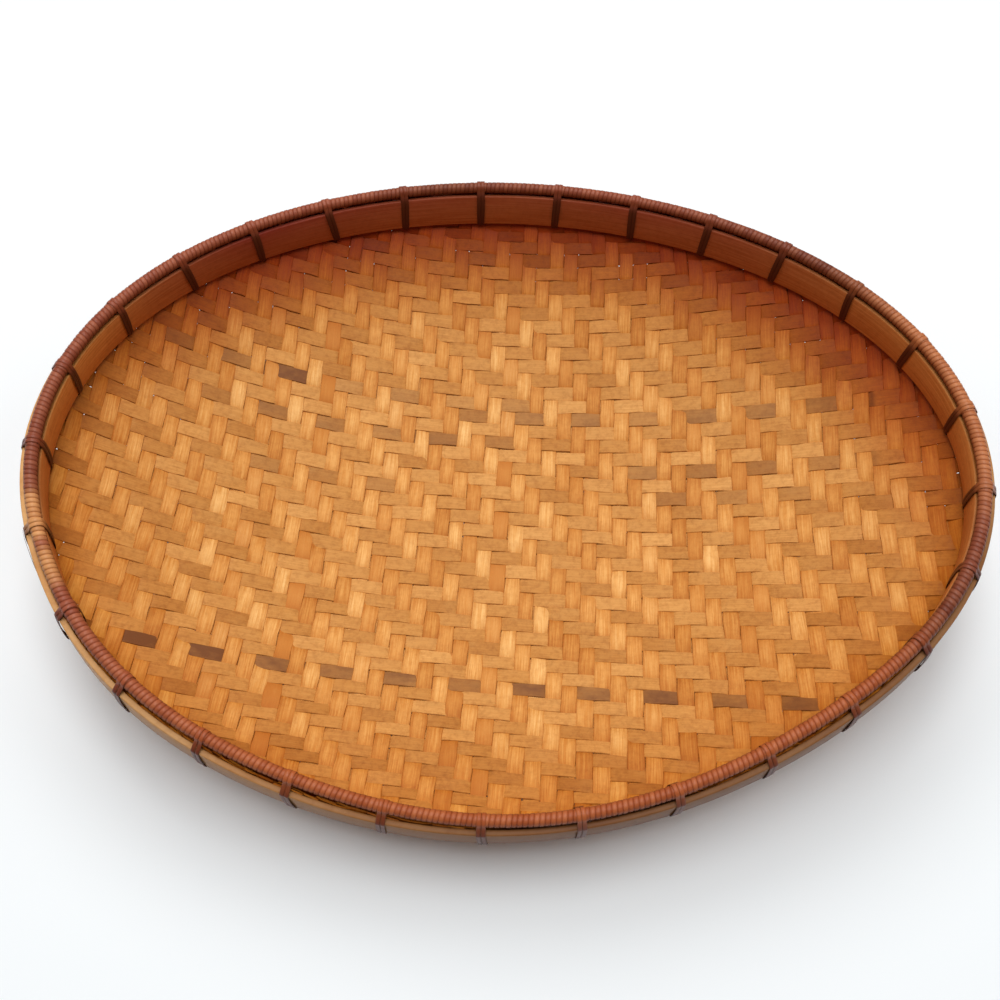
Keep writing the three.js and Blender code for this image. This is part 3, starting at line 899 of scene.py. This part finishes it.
wrap = {
    "turns": 518,
    "steps": 12,
    "caneWidth": 2.34,
    "caneThickness": 0.6,
    "caneEdge": 0.42,
    "unevenness": 0.06,
    "shadeLevel": 0.75,  # how much painted shade a turn has at mid height
    "shadeRise": -1.1,  # and how that changes towards the top
    "seed": 5,
    "rodSteps": 240,
    "rodSides": 10,
}
wrapLook = {
    "roughness": 0.44,
    "canes": {
        "pale": (222, 162, 102),
        "light": (194, 122, 75),
        "orange": (175, 91, 47),
        "reddish": (158, 82, 58),
        "brown": (140, 71, 50),
        "dark": (115, 53, 34),
    },
    "stretches": (  # which cane is where, by its share of the rim's length from the right end
        (0.0, "light"), (0.06, "light"), (0.106, "dark"), (0.15, "brown"), (0.21, "reddish"),
        (0.28, "dark"), (0.32, "reddish"), (0.42, "reddish"), (0.525, "brown"),
        (0.528, "pale"), (0.544, "pale"), (0.547, "reddish"), (0.55, "pale"), (0.56, "pale"),
        (0.565, "reddish"), (0.66, "orange"), (0.9, "orange"), (0.934, "dark"), (0.968, "brown"),
        (1.0, "light"),
    ),
    "edgeFrom": 0.6,
    "edgeContrast": 1.4,
    "edgeShadeColour": (0.64, 0.48, 0.40, 1.0),
    "lightShare": 0.2,
    "lightCane": (*srgb(214, 140, 94), 1.0),
    "darkCane": (0.7, 0.56, 0.5, 1.0),
    "turnShare": 0.55,  # of turn by turn in the tone; the rest is grain
    "grainsPerMm": 0.9,
    "roughnessSpread": 0.3,
    "bump": 0.25,
    "bumpDepth": 0.2,
    "underShadeShare": 0.8,
    "underShadeColour": (*srgb(88, 36, 22), 1.0),
}


def wrapRadiusAt(t):
    return waves(t, rim["wrapRadiusWaves"])


print("winding the rim")
ringAngles = fineAngles[:-1:4]
rimPath = pathMesh("rimPath", [{
    "points": rimPlace(ringAngles), "rimUp": rimFrame(ringAngles)[4], "closed": True,
    "girth": wrapRadiusAt(ringAngles) * mm,
}])
wrapPiece = makeFromTree("cane_wrap", rimPath, caneWrapTree(), {
    "Turns": wrap["turns"], "Steps": wrap["steps"], "Seed": wrap["seed"],
    "Cane Width": wrap["caneWidth"] * mm, "Cane Thickness": wrap["caneThickness"] * mm,
    "Edge": wrap["caneEdge"] * mm, "Unevenness": wrap["unevenness"] * mm,
    "Shade Level": wrap["shadeLevel"], "Shade Rise": wrap["shadeRise"],
    "Finish": caneFinish("wrapCane", wrapLook),
})
finishPiece(wrapPiece, ["rim_wrap"], 80.0)

rodAngles = np.arange(wrap["rodSteps"]) * fullTurn / wrap["rodSteps"]
rodTurn = -np.arange(wrap["rodSides"]) * fullTurn / wrap["rodSides"]
rodRadii = np.full_like(rodAngles, rim["rodRadius"])
rodRings = np.stack([
    wallPoint(rodAngles, rodRadii * math.cos(a) - springOff(rodAngles), rodRadii * math.sin(a))
    for a in rodTurn
], axis=1)
rodPiece = ringMesh("rim_rod_core", rodRings, True, {
    "along": (lengthAtAngle(rodAngles) * mm)[:, None], "across": (rodTurn * rim["rodRadius"] * mm)[None, :],
    "tone": 0.5, "stain": 0.0, "shade": 0.0,
})
rodPiece.data.materials.append(bambooFinish("rodBamboo", outerLook))
finishPiece(rodPiece, ["rim_rod"], 60.0)


# The lashings.

lashing = {
    "count": 29,
    "start": 3.1623,
    "width": 2.0,
    "thickness": 0.42,
    "edge": 0.2,
    "pitch": 2.05,
    "slant": 1.5,
    "bulge": 0.9,
    "leastBulge": 0.3,
    "clearOfHoops": 0.12,
    "clearOfWrap": 0.08,
    "widths": (0.94, 1.04),  # least and greatest, as shares of the width
    "tones": (0.2, 0.9),
    "looseWidths": (0.5, 0.22),  # of the loose end, from its root to its tip
    "smooth": 5,
    "seed": 23,
    "looseNumber": 28,
}
lashLook = dict(
    wrapLook,
    roughness=0.4,
    lightShare=0.1,
    edgeFrom=0.7,
    edgeContrast=1.2,
    underShadeShare=1.0,
    underShadeColour=(*srgb(72, 26, 18), 1.0),
)


def smoothPath(points, parts):  # Catmull-Rom through points
    points = np.asarray(points, float)
    padded = np.vstack([2 * points[0] - points[1], points, 2 * points[-1] - points[-2]])
    out = []
    for i in range(1, len(padded) - 2):
        p0, p1, p2, p3 = padded[i - 1:i + 3]
        for q in np.arange(parts) / parts:
            out.append(0.5 * (
                2 * p1 + (p2 - p0) * q + (2 * p0 - 5 * p1 + 4 * p2 - p3) * q ** 2
                + (3 * p1 - p0 - 3 * p2 + p3) * q ** 3
            ))
    out.append(padded[-2])
    return np.array(out)


def strandPath(random, t):  # twice round rod, hoops and mat: across, up, along the rim, and how much painted shade it has (least on top of the rod)
    off = lashing["clearOfHoops"] + lashing["thickness"] / 2
    over = wrapRadiusAt(t) + lashing["clearOfWrap"] + lashing["thickness"] / 2
    inside = rim["innerHoop"][0] - off
    outside = rim["outerHoop"][1] + off
    rod = -springOff(t)
    top, foot = rim["hoopTop"], rim["hoopFoot"]
    middle = (top + foot) / 2
    lean = random.uniform(-1, 1) * lashing["slant"]
    bulge = random.uniform(lashing["leastBulge"], 1) * lashing["bulge"]
    path = [(0.3, foot - 2.2, 0.3, 1)]
    for turn in (-0.5, 0.5):
        shift = turn * lashing["pitch"]
        path += [
            (inside + 1.2, foot - 1.2, shift * 0.6 + lean, 1),
            (inside - 0.2 * bulge, foot + 0.8, shift * 0.8 + lean * 0.9, 1),
            (inside - bulge, middle, shift + lean * 0.45, 1),
            (inside - 0.4 * bulge, top - 1.0, shift, 0.9),
            (rod - over + 0.1, -0.6, shift, 0.35),
            (rod - over * 0.71, over * 0.71, shift, 0),
            (rod, over, shift, 0),
            (rod + over * 0.71, over * 0.71, shift, 0),
            (rod + over + 0.2, 0.0, shift, 0.4),
            (outside - 0.4, top + 0.6, shift, 0.7),
            (outside + 0.1, top - 1.5, shift, 0.8),
            (outside + 0.5, middle, shift - lean * 0.3, 0.85),
            (outside + 0.1, foot + 0.8, shift - lean * 0.6, 0.9),
            (outside - 1.2, foot - 1.0, shift - lean * 0.6, 1),
            (0.0, foot - 2.4, turn * 0.8, 1),
        ]
    return smoothPath(path, lashing["smooth"])


def loosePath():  # one cane end that sticks up outside the outer hoop
    outside = rim["outerHoop"][1]
    foot = rim["hoopFoot"]
    return smoothPath([
        (outside + 0.5, foot + 0.5, 18.0, 0.9), (outside + 0.7, foot + 4.0, 14.5, 0.9),
        (outside + 0.9, foot + 9.0, 10.0, 0.9), (outside + 1.0, foot + 14.0, 5.5, 0.8),
        (outside + 1.0, foot + 18.0, 2.0, 0.8), (outside + 0.6, foot + 21.0, 0.0, 0.8),
    ], lashing["smooth"])


print("tying the lashings")
random = np.random.default_rng(lashing["seed"])
firstLength = lengthAtAngle(np.array(lashing["start"]))
strands = []


def addStrand(place, path, breadth):
    t = angleAtLength(place + path[:, 2])
    _, _, _, face, rise = rimFrame(t)
    heading = np.gradient(path[:, :2], axis=0)
    heading /= np.maximum(np.linalg.norm(heading, axis=1, keepdims=True), 1e-6)
    strands.append({
        "points": wallPoint(t, path[:, 0], path[:, 1]),
        "faceUp": face * -heading[:, 1:2] + rise * heading[:, 0:1],
        "breadth": breadth,
        "turnTone": np.full(len(path), random.uniform(*lashing["tones"])),
        "rimShare": np.full(len(path), (place / rimLength) % 1),
        # painted shade on the lashing's shaded parts, least on top of the rod
        "inner": np.clip(path[:, 3], 0, 1),
    })


for number in range(lashing["count"]):
    place = firstLength - rimLength * number / lashing["count"]
    path = strandPath(random, angleAtLength(place))
    addStrand(place, path, np.full(len(path), random.uniform(*lashing["widths"])))
    if number == lashing["looseNumber"]:
        path = loosePath()
        addStrand(place, path, np.linspace(*lashing["looseWidths"], len(path)))
lashPiece = makeFromTree("cane_lashings", pathMesh("lashPath", strands), sweepTree, {
    "Width": lashing["width"] * mm, "Thickness": lashing["thickness"] * mm, "Edge": lashing["edge"] * mm,
    "Finish": caneFinish("lashingCane", lashLook),
})
finishPiece(lashPiece, ["lashing_%02d" % (i + 1) for i in range(lashing["count"])], 70.0)


# Floor, light and camera.

studio = {
    "floorColour": (0.875, 0.905, 0.92),
    "floorReach": 6.0,
    "worldColour": (0.98, 0.99, 1.0),
    "worldStrength": 0.115,
    "lamps": (  # name, place and size in m, power in W
        ("topLamp", (0.0, 0.1, 2.4), 1.6, 36.0),
        ("backLamp", (-0.24, 2.1, 2.7), 2.0, 46.0),
        ("leftLamp", (-2.2, 0.5, 2.0), 1.6, 10.5),
        ("rightLamp", (2.2, 0.5, 2.0), 1.6, 12.8),
    ),
}
print("lighting the studio")
floorMesh = bpy.data.meshes.new("studio_floor")
reach = studio["floorReach"]
corners = [(-reach, -reach, 0), (reach, -reach, 0), (reach, reach, 0), (-reach, reach, 0)]
floorMesh.from_pydata(corners, [], [(0, 1, 2, 3)])
floor = bpy.data.objects.new("studio_floor", floorMesh)
scene.collection.objects.link(floor)
floorFinish, bench, shader = newFinish("paperFloor", 0.9)
shader.inputs["Base Color"].default_value = (*studio["floorColour"], 1)
# seen from below, the floor lets the underside show
behind = bench.node("ShaderNodeNewGeometry", None, None, "Backfacing")
clear = bench.node("ShaderNodeBsdfTransparent")
oneSided = bench.node("ShaderNodeMixShader", None, {0: behind, 1: Wire(bench, shader.outputs[0]), 2: clear})
bench.tree.links.new(oneSided.socket, bench.tree.nodes["Material Output"].inputs["Surface"])
floorMesh.materials.append(floorFinish)

world = bpy.data.worlds.new("studioWorld")
scene.world = world
world.use_nodes = True
background = world.node_tree.nodes["Background"]
background.inputs["Color"].default_value = (*studio["worldColour"], 1)
background.inputs["Strength"].default_value = studio["worldStrength"]


def softLamp(name, place, size, power):
    lamp = bpy.data.lights.new(name, "AREA")
    lamp.shape = "DISK"
    lamp.size = size
    lamp.energy = power
    holder = bpy.data.objects.new(name, lamp)
    holder.location = place
    holder.rotation_euler = (-Vector(place)).to_track_quat("-Z", "Y").to_euler()
    scene.collection.objects.link(holder)


for lampValues in studio["lamps"]:
    softLamp(*lampValues)

view = {
    "elevation": 1.15441,
    "azimuth": 0.010855,
    "distance": 0.6105,
    "pitchNudge": 0.014436,
    "yawNudge": -0.004319,
    "roll": 0.005513,
    "focal": 1.16863,  # lens to sensor width
    "sensorWidth": 36.0,
    "nearClip": 0.01,
}
elevation, azimuth = view["elevation"], view["azimuth"]
eye = Vector((
    view["distance"] * math.cos(elevation) * math.sin(azimuth) + rim["shift"][0] * mm,
    -view["distance"] * math.cos(elevation) * math.cos(azimuth) + rim["shift"][1] * mm,
    view["distance"] * math.sin(elevation),
))
pitch = view["pitchNudge"] - elevation
yaw = view["yawNudge"] - azimuth
ahead = Vector((math.sin(yaw) * math.cos(pitch), math.cos(yaw) * math.cos(pitch), math.sin(pitch)))
right = ahead.cross(Vector((0, 0, 1))).normalized()
up = right.cross(ahead)
rolledRight = math.cos(view["roll"]) * right + math.sin(view["roll"]) * up
rolledUp = math.cos(view["roll"]) * up - math.sin(view["roll"]) * right
cameraData = bpy.data.cameras.new("photoCamera")
cameraData.sensor_width = view["sensorWidth"]
cameraData.lens = view["focal"] * view["sensorWidth"]
cameraData.clip_start = view["nearClip"]
camera = bpy.data.objects.new("photoCamera", cameraData)
camera.matrix_world = Matrix((
    (rolledRight.x, rolledUp.x, -ahead.x, eye.x),
    (rolledRight.y, rolledUp.y, -ahead.y, eye.y),
    (rolledRight.z, rolledUp.z, -ahead.z, eye.z),
    (0, 0, 0, 1),
))
scene.collection.objects.link(camera)
scene.camera = camera
scene.view_settings.view_transform = "Standard"
